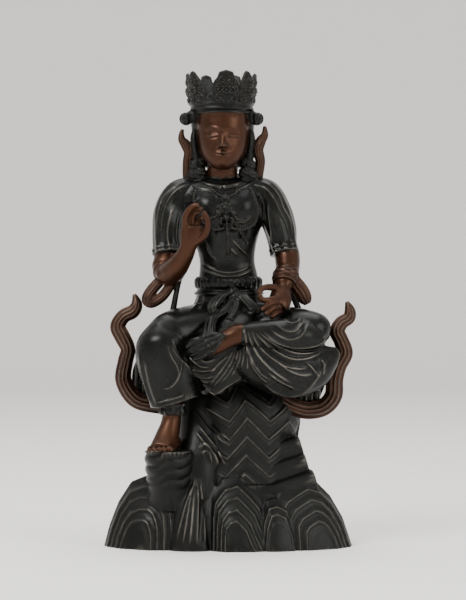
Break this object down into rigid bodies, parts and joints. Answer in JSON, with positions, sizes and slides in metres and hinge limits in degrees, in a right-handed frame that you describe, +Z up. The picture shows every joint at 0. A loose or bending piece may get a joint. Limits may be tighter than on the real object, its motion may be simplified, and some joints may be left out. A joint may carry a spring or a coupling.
{
  "type": "bronze bodhisattva statue seated on a rock throne",
  "caption": "Crowned bodhisattva in cast bronze, seated at ease on a throne of stylised rock, one foot hanging to a footrest and one hand raised.",
  "frame": {"origin": "under the middle of the rock's flat underside, in the plane it stands on", "axes": "+Z up, the figure faces -Y, the figure's own left hand is towards +X"},
  "size_m": [0.1991, 0.1325, 0.3775],
  "materials": {
    "bronze": "dark glossy patina, worn to reddish brown on the skin and the scarves"
  },
  "bodies": {
    "root": {"seated_bodhisattva": "bronze"}
  },
  "joints": []
}
